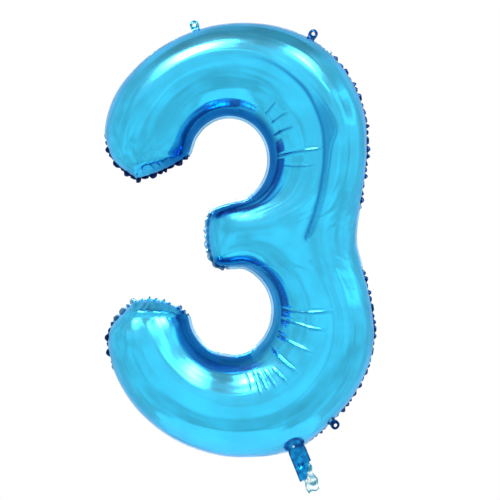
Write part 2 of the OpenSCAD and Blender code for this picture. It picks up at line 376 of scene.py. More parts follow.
def front_folds():
    """Height of the folds over the smooth front skin, and the shade painted into the colour in and between
    the folds.
    """
    points = FLAT.reshape(-1, 2)
    total, shade = np.zeros(len(points)), np.zeros(len(points))
    # Painted shade: the colour is darker the deeper a point lies in a fold
    for path, width, depth in FOLDS:
        fold = crease(points, path, width, depth)
        total += fold
        shade = np.maximum(shade, 0.8 * np.clip(-fold / depth, 0, 1))
    # The long fold starts softly on the crown and ends sharply at the arm's root
    # Painted shade along the long fold's line, along its far edge and over the foil between them
    dist, share = fold_distance(LONG_FOLD, points)
    taper = smooth_step(share / 0.35) * smooth_step((1 - share) / 0.02)
    total += -1.3 * np.exp(-np.abs(dist / 4.2) ** 1.5) * taper
    shade = np.maximum(shade, 0.9 * np.exp(-np.abs(dist / 3.2) ** 1.8) * taper)
    edge, edge_share = fold_distance(LONG_FOLD_EDGE, points)
    edge_taper = smooth_step(edge_share / 0.22) * smooth_step((1 - edge_share) / 0.05)
    total += -0.8 * np.exp(-np.abs(edge / 3.8) ** 1.5) * edge_taper
    shade = np.maximum(shade, 0.5 * np.exp(-np.abs(edge / 2.6) ** 1.8) * edge_taper)
    between = smooth_step((dist + 1) / 4) * smooth_step((1 - edge) / 7) * edge_taper
    shade = np.maximum(shade, 0.5 * between * (np.abs(dist) < LONG_FOLD_WIDTH))
    return total.reshape(HEIGHT.shape), shade.reshape(HEIGHT.shape)


# ---------------------------------------------------------------- meshes
def make_mesh(name, points, faces):
    mesh = bpy.data.meshes.new(name)
    mesh.from_pydata(np.asarray(points).reshape(-1, 3).tolist(), [], faces)
    mesh.validate()
    mesh.polygons.foreach_set("use_smooth", [True] * len(mesh.polygons))
    mesh.update()
    obj = bpy.data.objects.new(name, mesh)
    bpy.context.collection.objects.link(obj)
    return obj


def grid_faces(rows, cols, flip=False):
    faces = []
    for i in range(rows - 1):
        for j in range(cols - 1):
            a, d = i * cols + j, (i + 1) * cols + j
            quad = (a, a + 1, d + 1, d)
            faces.append(quad[::-1] if flip else quad)
    return faces


def wrapped_faces(rows, cols):
    """Faces of a grid that closes on itself both ways."""
    faces = []
    for i in range(rows):
        k = (i + 1) % rows
        for j in range(cols):
            m = (j + 1) % cols
            faces.append((i * cols + j, i * cols + m, k * cols + m, k * cols + j))
    return faces


def set_attribute(obj, name, values):
    attribute = obj.data.attributes.new(name, "FLOAT", "POINT")
    attribute.data.foreach_set("value", np.asarray(values, np.float32).reshape(-1))


def crumple(a, b, seed, size, scale):
    """Creased noise over a film: flat facets meeting in sharp lines."""
    draw = np.random.default_rng(seed)
    total = np.zeros_like(a)
    for _ in range(5):
        angle = draw.uniform(0, np.pi)
        wave = scale * draw.uniform(0.7, 1.5)
        x = (a * np.cos(angle) + b * np.sin(angle)) / wave + draw.uniform()
        total += np.abs((x % 1) - 0.5) * 4 - 1
    return size * total / 2.4


# ---------------------------------------------------------------- the two skins
# Distance along each of the four stretches of seam
EDGE_IN = running_length(FLAT[:, 0])
EDGE_OUT = running_length(FLAT[:, -1])
END_UP = running_length(FLAT[0])
END_LOW = running_length(FLAT[-1])
# Just inside the seam the skin swells out past the seam's line by these amounts
OUTER_SWELL, INNER_SWELL, END_SWELL = 3.6, 0.6, 2.6


def swollen():
    """Seam-plane points of the skin after it swells past its seam."""
    d_in, d_out = V[None, :] * RIB_WIDTH[:, None], (1 - V[None, :]) * RIB_WIDTH[:, None]
    rib = FLAT[:, -1] - FLAT[:, 0]
    rib = (rib / np.linalg.norm(rib, axis=1, keepdims=True))[:, None]
    ahead = np.gradient(FLAT[:, ACROSS // 2], axis=0)
    ahead = (ahead / np.linalg.norm(ahead, axis=1, keepdims=True))[:, None]
    ahead = ahead * np.where(MIDDLE_RUN < MIDDLE_RUN[-1] / 2, -1, 1)[:, None, None]
    nearest = np.minimum(np.minimum(d_in, d_out), END_DISTANCE)
    rise = (1 - np.exp(-nearest / 0.6))[..., None]
    clear = smooth_step((np.linalg.norm(FLAT - NOTCH_CENTRE, axis=-1) - 24) / 20)[..., None]
    out = OUTER_SWELL * np.exp(-d_out / 9) - INNER_SWELL * np.exp(-d_in / 9)
    end_out = END_SWELL * np.exp(-END_DISTANCE / 9)
    return FLAT + rise * clear * (out[..., None] * rib + end_out[..., None] * ahead)


def surface(side):
    """Points of one skin before its small wrinkles, in the figure's mm."""
    plane = swollen()
    return np.stack([plane[..., 0], side * (SEAL_HALF_T + HEIGHT), plane[..., 1]], -1)


def surface_normals(points, side):
    """Unit normals of a skin, pointing out of the balloon."""
    along = np.gradient(points, axis=0)
    across = np.gradient(points, axis=1)
    n = np.cross(along, across)
    n /= np.linalg.norm(n, axis=-1, keepdims=True) + 1e-12
    facing = np.cross(np.gradient(FLAT, axis=0), np.gradient(FLAT, axis=1))
    return n * np.where(facing[..., None] * side > 0, 1, -1)


def skin_distance(points):
    """Distance over the skin from the inner and the outer seam, along each rib."""
    step = np.linalg.norm(np.diff(points, axis=1), axis=2)
    zero = np.zeros((len(points), 1))
    from_inner = np.hstack([zero, np.cumsum(step, axis=1)])
    return from_inner, from_inner[:, -1:] - from_inner


def wrinkles(points, side):
    """How far the skin stands off its smooth shape: puckers at the seams and long ripples."""
    d_in, d_out = skin_distance(points)
    seed = 11 if side < 0 else 37
    # Puckers beside the gathered stretches of the outer and the inner seam
    outer = beads(bead_phase(EDGE_OUT, OUTER_BEADS))[:, None] - BEAD_MEAN
    inner = beads(bead_phase(EDGE_IN, INNER_BEADS))[:, None] - BEAD_MEAN
    off = 1.7 * gather_outer(T)[:, None] * outer * np.exp(-d_out / 9) * (1 - np.exp(-d_out / 2))
    off += 1.5 * gather_inner(T)[:, None] * inner * np.exp(-d_in / 8) * (1 - np.exp(-d_in / 2))
    # Slow waves a little further in
    off += 0.6 * wander(EDGE_OUT, seed, 60)[:, None] * np.exp(-d_out / 34) * (1 - np.exp(-d_out / 12))
    off += 0.5 * wander(EDGE_IN, seed + 1, 30)[:, None] * np.exp(-d_in / 26) * (1 - np.exp(-d_in / 9))
    # Pleats that run in from the two end seams
    upper_half = MIDDLE_RUN < MIDDLE_RUN[-1] / 2
    for half, edge, pattern in ((upper_half, END_UP, UPPER_END_BEADS),
                                (~upper_half, END_LOW, LOWER_END_BEADS)):
        pleat = (beads(bead_phase(edge, pattern)) - BEAD_MEAN)[None, :] * half[:, None]
        off += 3.2 * pleat * np.exp(-END_DISTANCE / 13) * (1 - np.exp(-END_DISTANCE / 2))
    # Long ripples run with the limb, and are calmer where the arm joins it
    run = 0.4 * EDGE_OUT
    calm = 1 - 0.75 * bump_between(T, 12.5, 20.5, 2.5)[:, None]
    for wave, size in ((43, 0.42), (24, 0.26), (14.3, 0.10)):
        turn = 1.6 * wander(run, seed + 3 + int(wave), 380)[:, None]
        fade = 0.55 + 0.45 * wander(run, seed + 13 + int(wave), 240)[:, None]
        ripple = calm * size * fade * np.sin(2 * np.pi * d_in / wave + turn)
        off += ripple * smooth_step(d_in / 30) * smooth_step(d_out / 30)
    return off * np.clip(END_DISTANCE / 2.5, 0, 1)


def seam_shade(fold_shade):
    """Painted shade in the skin's colour: in folds, beside the inner seam and beside the two end seams."""
    d_in = np.abs(along_path(FLAT.reshape(-1, 2), FLAT[::6, 0])[0]).reshape(HEIGHT.shape)
    # The painted shade beside the inner seam is wider at the upper end, faint across the arm's tip,
    # and paler close to the seam round the lower hollow
    wider = 1 + 0.7 * (1 - smooth_step(T / 2.5))[:, None]
    inner = 0.95 * (1 - smooth_step((d_in / wider - 9) / 18)) * (0.55 + 0.45 * smooth_step(d_in / 4))
    arm_tip = bump_between(T, 14.45, 16.7, 0.5)[:, None]
    inner = inner * (1 - 0.75 * arm_tip)
    low_hollow = bump_between(T, 16.9, 27.0, 0.8)[:, None]
    inner = inner * (1 - low_hollow * (0.12 + 0.38 * (1 - smooth_step(d_in / 15))))
    # The painted shade beside an end seam is deepest near its inner corner, and fainter at the lower end
    near_end = 1 - smooth_step((END_DISTANCE - 14) / 14)
    near_end = near_end * (0.3 + 0.6 * smooth_step(1.25 - 1.4 * V))[None, :]
    near_end = near_end * (0.4 + 0.6 * (T < LAST / 2))[:, None]
    return np.clip(np.maximum(np.maximum(inner, near_end), fold_shade), 0, 1)


def panel(name, side):
    """One blown-up skin; side is -1 for the front and 1 for the back."""
    points = surface(side)
    off = wrinkles(points, side)
    shade = np.zeros(HEIGHT.shape)
    if side < 0:
        folds, shade = front_folds()
        off += folds
    off[0] = off[-1] = 0
    off[:, 0] = off[:, -1] = 0
    points = points + off[..., None] * surface_normals(points, side)
    points[..., 1] = side * np.maximum(side * points[..., 1], SEAL_HALF_T)
    framed = to_frame(points[..., 0], points[..., 1], points[..., 2])
    obj = make_mesh(name, framed, grid_faces(*HEIGHT.shape, flip=side < 0))
    set_attribute(obj, "shade", seam_shade(shade))
    return obj


front = panel("front_skin", -1)
back = panel("back_skin", 1)


# ---------------------------------------------------------------- welded margin
def closed_loop():
    """The outline as a closed loop: its points, how gathered it is and the phase of its beads."""
    parts = [
        (FLAT[:, 0], gather_inner(T), bead_phase(EDGE_IN, INNER_BEADS)),
        (FLAT[-1, 1:-1], np.ones(len(V) - 2), bead_phase(END_LOW[1:-1], LOWER_END_BEADS)),
        (FLAT[::-1, -1], gather_outer(T)[::-1], bead_phase(EDGE_OUT, OUTER_BEADS)[::-1]),
        (FLAT[0, -2:0:-1], np.ones(len(V) - 2), bead_phase(END_UP[-2:0:-1], UPPER_END_BEADS)),
    ]
    points = np.vstack([p[0] for p in parts])
    gather_and_painted_shade = np.concatenate([p[1] for p in parts])
    phase = np.concatenate([np.unwrap(p[2]) for p in parts])
    return points, gather_and_painted_shade, phase


def loop_normals(points):
    """Outward normals of a closed loop, turned smoothly round its corners."""
    tangent = np.roll(points, -1, axis=0) - np.roll(points, 1, axis=0)
    tangent /= np.linalg.norm(tangent, axis=1, keepdims=True) + 1e-12
    area = np.sum(points[:, 0] * np.roll(points[:, 1], -1) - np.roll(points[:, 0], -1) * points[:, 1])
    normal = np.stack([tangent[:, 1], -tangent[:, 0]], 1) * np.sign(area)
    for _ in range(2):
        normal = normal + np.roll(normal, 1, axis=0) + np.roll(normal, -1, axis=0)
        normal /= np.linalg.norm(normal, axis=1, keepdims=True)
    return normal


def resample_loop(points, values, spacing):
    """A closed loop with its values at even distances, and those distances."""
    closed = np.vstack([points, points[:1]])
    length = running_length(closed)
    count = int(length[-1] / spacing)
    x = np.linspace(0, length[-1], count, endpoint=False)
    columns = [np.interp(x, length, closed[:, k]) for k in (0, 1)]
    extra = [np.interp(x, length, np.append(v, v[0])) for v in values]
    return np.stack(columns, 1), extra, x


SEAL_WIDTH = 6.0
SEAL_PLY = 0.16
# The seam lies flat where a tab or the neck is welded to it
FLAT_SPOTS = [(-90, 424), (145.1, 406.4), (188.7, -366.7), tuple(NOTCH_CENTRE)]


def lobe_sizes(phase, seed):
    """A repeatable random size for each bead."""
    number = np.floor(phase / (2 * np.pi)).astype(int)
    sizes = np.random.default_rng(seed).uniform(0.35, 1.0, number.max() - number.min() + 1)
    return sizes[number - number.min()]


def margin():
    """The welded margin: a thin two-sided ribbon, smooth or gathered into beads."""
    points, gather_and_painted_shade, phase = closed_loop()
    keep = np.linalg.norm(points - NOTCH_CENTRE, axis=1) > NOTCH_RADIUS + 1
    points, gather_and_painted_shade, phase = points[keep], gather_and_painted_shade[keep], phase[keep]
    for spot in FLAT_SPOTS:
        gather_and_painted_shade = gather_and_painted_shade * smooth_step((np.linalg.norm(points - np.array(spot), axis=1) - 14) / 14)
    lobes, wave = beads(phase) * lobe_sizes(phase, 4), np.sin(phase)
    spacing = 1.0
    points, (gather_and_painted_shade, lobes, wave), length = resample_loop(points, (gather_and_painted_shade, lobes, wave), spacing)
    normal = loop_normals(points)
    # The ribbon starts a little inside the seam; each bead sticks out by its own size
    across = np.array([-1.5, 0.0, 1.0, 2.0, 3.0, 4.0, 5.0, SEAL_WIDTH])
    share = np.clip(across / SEAL_WIDTH, 0, 1)
    stretch = (1 - gather_and_painted_shade) * 0.82 + gather_and_painted_shade * (0.3 + 1.45 * lobes)
    reach = across[None, :] * np.where(across[None, :] > 0, stretch[:, None], 1)
    # Where it is gathered it waves from front to back and each bead is cupped
    sway = 0.5 * wander(length, 21, 90)[:, None] * share**2
    lift = gather_and_painted_shade[:, None] * (2.4 * wave[:, None] - 1.2) * share**0.8 + sway
    lift = lift + (1 - gather_and_painted_shade[:, None]) * 1.6 * share**2
    cup = gather_and_painted_shade[:, None] * lobes[:, None] * 2.0 * np.sin(np.pi * share)
    rows = []
    for half in (-SEAL_PLY, SEAL_PLY):
        x = points[:, None, 0] + normal[:, None, 0] * reach
        z = points[:, None, 1] + normal[:, None, 1] * reach
        rows.append(to_frame(x, lift - cup + half, z))
    front_rows, back_rows = rows
    ring = np.concatenate([front_rows, back_rows[:, ::-1]], axis=1)
    obj = make_mesh("welded_margin", ring, wrapped_faces(*ring.shape[:2]))
    # Painted shade: the gathered beads are coloured dark as if in shadow, and painted lighter, as if lit,
    # over the lower end and on the arm's tip
    sunny = np.exp(-((points[:, 0] + 165) / 70) ** 2) * smooth_step((-80 - points[:, 1]) / 20)
    sunny = sunny * smooth_step((points[:, 1] + 190) / 40)
    tip = np.exp(-(((points[:, 0] + 65) / 22) ** 2 + ((points[:, 1] - 8) / 45) ** 2))
    deep = gather_and_painted_shade * (1 - 0.85 * sunny) * (1 - 0.7 * tip)
    set_attribute(obj, "gather_and_painted_shade", np.repeat(deep[:, None], ring.shape[1], 1))
    return obj


seal = margin()


# ---------------------------------------------------------------- hanging tabs
# From the fold to the hole, half the tab's width, the hole, half the foil's thickness
TAB_REACH, TAB_HALF, HOLE_RADIUS, TAB_HALF_T = 9.0, 9.0, 3.5, 0.3
# How far the tab's foot reaches below the fold, and how far in front of the seam's plane it lies
TAB_FOOT, TAB_FOOT_SHIFT = 5.5, 0.75
# The raised ring round the hole runs this far from the hole's edge
HOLE_RING = 1.2
BOTTOM_TAB_TILT = 40
JOINTS = {joint["name"]: joint for joint in frame["joints"]}
CAD_MIDDLE = (np.array(cad_low) + np.array(cad_high)) / 2 / MM


def ring_mesh(name, front_rows, back_rows):
    """Closed sheet with a hole: both faces as rings of points, joined at both edges."""
    rows = np.concatenate([front_rows, back_rows[::-1]])
    return make_mesh(name, rows, wrapped_faces(*rows.shape[:2]))


def hang_tab(name, joint_name, tilt, seed, deep):
    """A rounded foil tab with a welded ring round its hole, on the seam's edge."""
    joint = JOINTS[joint_name]
    fold = np.array(joint["pos_m"]) / MM
    along = np.array(joint["axis"]) / np.linalg.norm(joint["axis"])
    up_flat = np.array([-along[2], 0, along[0]])
    if up_flat @ (fold - CAD_MIDDLE) < 0:
        up_flat, along = -up_flat, -along
    bend = math.radians(tilt)
    up_bent = up_flat * math.cos(bend) + np.array([0, -math.sin(bend), 0])
    # Rings of points from the hole out to the edge, which is round above and straight-sided below
    sides = 96
    angle = 2 * np.pi * np.arange(sides) / sides
    ca, sa = np.cos(angle), np.sin(angle)
    foot = TAB_REACH + TAB_FOOT
    to_side = TAB_HALF / np.maximum(np.abs(ca), 1e-6)
    to_foot = foot / np.maximum(-sa, 1e-6)
    edge = np.where(sa >= 0, TAB_HALF, np.minimum(to_side, to_foot))
    rings = np.array([0, 0.04, 0.1, 0.18, 0.3, 0.42, 0.55, 0.7, 0.85, 0.95, 1.0])
    radius = HOLE_RADIUS + (edge - HOLE_RADIUS)[None, :] * rings[:, None]
    a, b = radius * ca, radius * sa + TAB_REACH
    # The tab is a little narrower at its fold
    a = a * (1 - 0.14 * np.exp(-((b + 0.5) / 3.5) ** 2))
    height = crumple(a, b, seed, 0.9, 9) * smooth_step((radius - HOLE_RADIUS) / 4)
    from_ring = radius - HOLE_RADIUS - HOLE_RING
    height = height - 0.5 * np.exp(-(from_ring / 0.8) ** 2)
    height = height * smooth_step((b + 7) / 7)
    shift = np.where(b < 0, -TAB_FOOT_SHIFT, 0)
    sheets = []
    for half in (-TAB_HALF_T, TAB_HALF_T):
        rise = np.where(b > 0, b, 0)[..., None] * up_bent + np.where(b < 0, b, 0)[..., None] * up_flat
        off = (height + half + shift)[..., None] * np.array([0, 1, 0])
        sheets.append((fold + a[..., None] * along + rise + off) * MM)
    obj = ring_mesh(name, *sheets)
    # Painted shade: each tab's colour is as deep as its deep level, deeper in the crumple's creases, and
    # paler on the ring round the hole
    ring = np.exp(-from_ring**2)
    shade = np.clip(deep + 0.25 * crumple(a, b, seed + 1, 1, 7) - 0.3 * ring * (1 - deep), 0, 1)
    set_attribute(obj, "gather_and_painted_shade", np.concatenate([shade, shade[::-1]]))
    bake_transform(obj)
    return obj


# The last argument is each tab's painted shade: the same foil is lighter on the top left tab and deep on
# the other two
tabs = {
    "hang_tab_top_left": hang_tab("top_left_hanging_tab", "tab_top_left_fold", 0, 3, 0.45),
    "hang_tab_top_right": hang_tab("top_right_hanging_tab", "tab_top_right_fold", 0, 5, 1.0),
    "hang_tab_bottom_right": hang_tab("bottom_right_hanging_tab", "tab_bottom_right_fold",
                                      BOTTOM_TAB_TILT, 8, 1.0),
}


# ---------------------------------------------------------------- filling neck
NECK_DOWN_ANGLE = math.radians(22)
NECK_DOWN = np.array([math.sin(NECK_DOWN_ANGLE), -math.cos(NECK_DOWN_ANGLE)])
NECK_ACROSS = np.array([math.cos(NECK_DOWN_ANGLE), math.sin(NECK_DOWN_ANGLE)])
NECK_HALF, DOME_RADIUS, NECK_END = 18.0, 16.5, 68.4
FOIL_Y, FOIL_HALF_T = 0.85, 0.15
# The neck's mouth is cut aslant: its right corner ends this much higher than its left one
TORN_BACK = 32
# A small bare spot with a raised rim lies on the neck's weld: across, down, radius
BARE_ACROSS, BARE_DOWN, BARE_RADIUS = -4, -1, 2.4
# Value of the painted-shade attribute that marks it
BARE_MARK = -2.0


def neck_point(a, s, y):
    """a across the neck, s down it from the notch's centre, y from front to back, in mm."""
    plane = NOTCH_CENTRE + a[..., None] * NECK_ACROSS + s[..., None] * NECK_DOWN
    return to_frame(plane[..., 0], y, plane[..., 1])


def sheet_mesh(name, front_points, back_points):
    """Closed thin sheet from two grids of points."""
    rows, cols = front_points.shape[:2]
    count = rows * cols
    faces = grid_faces(rows, cols)
    faces += [tuple(i + count for i in f[::-1]) for f in faces]
    rim = list(range(cols)) + [i * cols + cols - 1 for i in range(1, rows)]
    rim += [(rows - 1) * cols + j for j in range(cols - 2, -1, -1)]
    rim += [i * cols for i in range(rows - 2, 0, -1)]
    for k, here in enumerate(rim):
        there = rim[(k + 1) % len(rim)]
        faces.append((there, here, here + count, there + count))
    return make_mesh(name, np.concatenate([front_points.reshape(-1, 3), back_points.reshape(-1, 3)]), faces)


def neck_wave(a, s):
    """The neck's own crumple, shared by every layer so that they stay nested."""
    free = smooth_step((s - 4) / 22)
    long_wave = 1.5 * np.sin(a / 5.2 + 0.05 * s) + 0.8 * np.sin(a / 2.9 - 0.11 * s + 1)
    sway = 2.2 * np.sin(s / 15.0) * (s / 60)
    return free * (0.9 * long_wave + sway + crumple(a, s, 12, 1.5, 21))


def neck_foil(name, side, seed):
    """One foil of the neck: a round-topped weld on the envelope and a crumpled tail below it."""
    rows, cols = ((130, 48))
    # Rows run down from the dome's top; half is half the width there, and u goes from side to side
    s = np.concatenate([-DOME_RADIUS * np.cos(np.linspace(0.02, np.pi / 2, rows // 4)),
                        np.linspace(0, NECK_END, rows - rows // 4 + 1)[1:]])
    half = np.where(s < 0, np.sqrt(np.maximum(DOME_RADIUS**2 - s**2, 0)),
                    DOME_RADIUS + (NECK_HALF - DOME_RADIUS) * smooth_step(s / 12))
    u = np.linspace(-1, 1, cols)
    a = half[:, None] * u[None, :]
    # Rows below the weld are drawn together to end on the slanted, uneven cut
    cut = TORN_BACK * smooth_step((u + 0.45) / 1.45) + 1.6 * np.sin(7 * u) * (1 - np.abs(u))
    down = s[:, None] - np.maximum(s[:, None] - 20, 0) / (NECK_END - 20) * cut[None, :]
    # Each foil bellies out a little between its side welds and has a crumple of its own
    belly = smooth_step((s + DOME_RADIUS) / 8)[:, None] * (1 - u[None, :] ** 4)
    pillow = (0.6 + 1.0 * smooth_step((s - 6) / 10) * smooth_step((NECK_END - s) / 14))[:, None] * belly
    own = (0.7 * crumple(a, down, seed, 1, 12) + 0.3 * crumple(a, down, seed + 5, 1, 6)) * belly
    own = own * (0.12 + 0.88 * smooth_step((s - 8) / 10))[:, None]
    lift = side * (FOIL_Y + pillow + np.abs(own)) + neck_wave(a, down)
    dot = np.hypot(a - BARE_ACROSS, down - BARE_DOWN)
    lift = lift + side * (0.7 * np.exp(-((dot - 2.6) / 0.8) ** 2) - 0.2 * np.exp(-(dot / 1.6) ** 2))
    obj = sheet_mesh(name, neck_point(a, down, lift - FOIL_HALF_T), neck_point(a, down, lift + FOIL_HALF_T))
    # Painted shade: the colour is deeper along the side welds, round the dome's rim and in the creases
    edge = smooth_step((np.abs(u)[None, :] - 0.76) / 0.16)
    rim = np.exp(-((np.hypot(a, down) - 13.5) / 1.6) ** 2) * (down < 4)
    shade = 0.35 + 0.35 * crumple(a, down, seed + 2, 1, 14) + 0.5 * edge + 0.3 * rim
    # Painted shade on the dome's right side
    shade = shade + 0.5 * np.exp(-(np.hypot(a - 6, down - 2) / 9) ** 2)
    shade = np.where(dot < BARE_RADIUS, BARE_MARK, np.clip(shade, 0, 1))
    set_attribute(obj, "gather_and_painted_shade", np.stack([shade, shade]))
    return obj


def neck_blend(obj):
    """Bake a piece's transform into its mesh."""
    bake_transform(obj)


def neck_strip(name, a_low, a_high, s_low, s_high, y, half_t, reshape=None, cols=14):
    """A flat film inside the neck that follows the neck's crumple, and may be reshaped after."""
    rows = max(8, int((s_high - s_low) / (0.8)))
    a, down = np.meshgrid(np.linspace(a_low, a_high, cols), np.linspace(s_low, s_high, rows))
    lift = y + neck_wave(a, down)
    half = (a_high - a_low) / 2
    # Painted shade: the colour is deeper in the creases, toward the side edges and at the tip's end
    shade = 0.25 + 0.9 * crumple(a, down, 71, 1, 17)
    shade = shade + 0.9 * smooth_step((np.abs(a) / half - 0.72) / 0.22)
    shade = np.clip(shade + 0.7 * smooth_step((down - TIP_END + 5) / 4), 0, 1)
    if reshape is not None:
        a, down, lift = reshape(a, down, lift)
    obj = sheet_mesh(name, neck_point(a, down, lift - half_t), neck_point(a, down, lift + half_t))
    set_attribute(obj, "gather_and_painted_shade", np.stack([shade, shade]))
    return obj


VALVE_HALF, VALVE_Y, FILM_HALF_T = 12.5, 0.3, 0.1
VALVE_START, TIP_START, TIP_END, CRUMPLE_START = 8.6, 68.9, 95.5, 48.0
# Gap between the valve's films in the neck and their clear tip
TIP_GAP = 0.5
INK_HALF, INK_START, INK_END, INK_HALF_T = 4, 12, 42, 0.05
SIDE_WELD_WIDTH, SIDE_WELD_HALF_T = 3, 0.62


def crumpled_tip(side):
    """The limp end of the valve film: wrung, folded and puckered."""
    def shape(a, down, lift):
        free = smooth_step((down + 0.9 * a - CRUMPLE_START) / 14)
        narrow = 1 + free * (0.12 - 0.2 * (1 + np.sin(down / 4.6)) / 2)
        ruck = 2.0 * np.sin(a / 3.4 + down / 6.5 + side) + 1.6 * np.sin(down / 3.2 + a / 7)
        lift = lift + free * (ruck + crumple(a, down, 90 + side, 1.6, 14) + 0.9 * side)
        swing = 1.6 * free * np.sin(down / 5.2)
        return a * narrow + swing + 1.8 * free, down + free * 1.2 * np.sin(a / 3.0), lift
    return shape


films = {}
for side, face in ((-1, "front"), (1, "back")):
    films[f"valve_{face}_film"] = neck_strip(
        f"neck_valve_{face}", -VALVE_HALF, VALVE_HALF, VALVE_START, TIP_START - TIP_GAP, side * VALVE_Y,
        FILM_HALF_T, crumpled_tip(side), 30)
    films[f"valve_tip_{face}_film"] = neck_strip(
        f"clear_tip_{face}", -VALVE_HALF, VALVE_HALF, TIP_START, TIP_END, side * VALVE_Y, FILM_HALF_T,
        crumpled_tip(side), 36)
films["valve_release_ink"] = neck_strip("release_ink", -INK_HALF, INK_HALF, INK_START, INK_END, 0,
                                        INK_HALF_T)


def side_weld(name, side, bottom):
    low, high = sorted((side * (NECK_HALF - SIDE_WELD_WIDTH), side * NECK_HALF))
    return neck_strip(name, low, high, VALVE_START, bottom, 0, SIDE_WELD_HALF_T, cols=6)


side_welds = [side_weld("neck_left_weld", -1, NECK_END),
              side_weld("neck_right_weld", 1, NECK_END - TORN_BACK + 1)]

neck_front = neck_foil("neck_front", -1, 31)
neck_back = neck_foil("neck_back", 1, 47)
for piece in (neck_front, neck_back):
    neck_blend(piece)
for piece in side_welds:
    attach(piece, "neck")
for node, piece in films.items():
    if "tip" in node:
        neck_blend(piece)
    else:
        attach(piece, "neck")


# ---------------------------------------------------------------- materials
def new_material(name, settings):
    """A material whose surface shader has these settings."""
    mat = bpy.data.materials.new(name)
    mat.use_nodes = True
    nodes, links = mat.node_tree.nodes, mat.node_tree.links
    bsdf = nodes["Principled BSDF"]
    for socket, value in settings.items():
        bsdf.inputs[socket].default_value = value
    return mat, nodes, links, bsdf


def attribute_value(nodes, name):
    source = nodes.new("ShaderNodeAttribute")
    source.attribute_name = name
    return source.outputs["Fac"]


def noise_value(nodes, links, coordinates, scale, detail):
    coord = nodes.new("ShaderNodeTexCoord")
    noise = nodes.new("ShaderNodeTexNoise")
    noise.inputs["Scale"].default_value = scale
    noise.inputs["Detail"].default_value = detail
    links.new(coord.outputs[coordinates], noise.inputs["Vector"])
    return noise.outputs["Fac"]


def colour_ramp(nodes, links, value, stops):
    """Colour by a value, from two stops that are each a place and a colour."""
    ramp = nodes.new("ShaderNodeValToRGB")
    for element, (place, colour) in zip(ramp.color_ramp.elements, stops):
        element.position = place
        element.color = (*colour, 1)
    links.new(value, ramp.inputs["Fac"])
    return ramp.outputs["Color"]


def colour_mix(nodes, links, factor, from_colour, to_colour):
    mix = nodes.new("ShaderNodeMix")
    mix.data_type = "RGBA"
    links.new(factor, mix.inputs["Factor"])
    links.new(from_colour, mix.inputs["A"])
    mix.inputs["B"].default_value = (*to_colour, 1)
    return mix.outputs["Result"]


def shade_mix(nodes, links, attribute, light, deep):
    """Colour from light to a deep painted shade by a mesh attribute, with a faint uneven cast."""
    cast = colour_ramp(nodes, links, noise_value(nodes, links, "Object", 14, 3), (
        (0.35, [c * 0.9 for c in light]), (0.65, [c * 1.08 for c in light])))
    return colour_mix(nodes, links, attribute_value(nodes, attribute), cast, deep)


def foil_material():
    mat, nodes, links, bsdf = new_material("cyan_foil", {
        "Metallic": 1.0, "Roughness": 0.14, "Specular Tint": (0.36, 0.60, 0.92, 1),
        "Coat Roughness": 0.32, "Coat IOR": 1.5})
    # Base colour: the foil's cyan, mixed to a deep blue painted shade by the shade attribute
    colour = shade_mix(nodes, links, "shade", (0.022, 0.53, 0.85), (0.0005, 0.105, 0.38))
    links.new(colour, bsdf.inputs["Base Color"])
    # The lacquer's soft white haze round the highlights is left out where shade is painted into the colour
    haze = nodes.new("ShaderNodeMapRange")
    haze.inputs["To Min"].default_value, haze.inputs["To Max"].default_value = 0.60, 0.04
    links.new(attribute_value(nodes, "shade"), haze.inputs["Value"])
    links.new(haze.outputs["Result"], bsdf.inputs["Coat Weight"])
    return mat


BARE_COLOUR = (0.55, 0.82, 0.92)


def thin_foil_material(name, light, deep, roughness):
    """Thin foil, with a bare pale spot where its attribute holds the mark for one."""
    mat, nodes, links, bsdf = new_material(name, {
        "Metallic": 0.9, "Roughness": roughness, "Coat Weight": 0.07, "Coat Roughness": 0.08})
    bare = nodes.new("ShaderNodeMath")
    bare.operation = "LESS_THAN"
    bare.inputs[1].default_value = BARE_MARK / 2
    links.new(attribute_value(nodes, "gather_and_painted_shade"), bare.inputs[0])
    foil = shade_mix(nodes, links, "gather_and_painted_shade", light, deep)
    colour = colour_mix(nodes, links, bare.outputs["Value"], foil, BARE_COLOUR)
    links.new(colour, bsdf.inputs["Base Color"])
    return mat


def gathered_material(name, light, deep, settings):
    """A plain material whose colour goes from light to a deep painted shade with its painted-shade
    attribute.
    """
    mat, nodes, links, bsdf = new_material(name, settings)
    links.new(shade_mix(nodes, links, "gather_and_painted_shade", light, deep), bsdf.inputs["Base Color"])
    return mat


FOIL = foil_material()
# Welded foil, from a pale blue to a near-black painted shade on the gathered beads
SEAL = gathered_material("welded_foil", (0.30, 0.62, 0.86), (0.001, 0.02, 0.09), {
    "Metallic": 1.0, "Roughness": 0.25, "Coat Weight": 0.12, "Coat Roughness": 0.1})
# Clear soft plastic, with painted shade at its creases and edges
FILM = gathered_material("clear_film", (0.86, 1.0, 1.0), (0.01, 0.30, 0.42), {
    "Roughness": 0.08, "IOR": 1.5, "Alpha": 0.72, "Coat Weight": 1.0, "Coat Roughness": 0.03})
# Grey print, with the same painted shade in its creases and toward its edges
INK = gathered_material("grey_ink", (0.30, 0.31, 0.33), (0.16, 0.17, 0.19), {"Roughness": 0.6})
TAB = thin_foil_material("tab_foil", (0.08, 0.54, 0.74), (0.001, 0.035, 0.17), 0.2)
NECK = thin_foil_material("neck_foil", (0.003, 0.30, 0.68), (0.0, 0.045, 0.23), 0.18)


def dress(piece, material, node):
    """Give a piece its material and hide the CAD node that it stands for."""
    piece.data.materials.append(material)
    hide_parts(node)


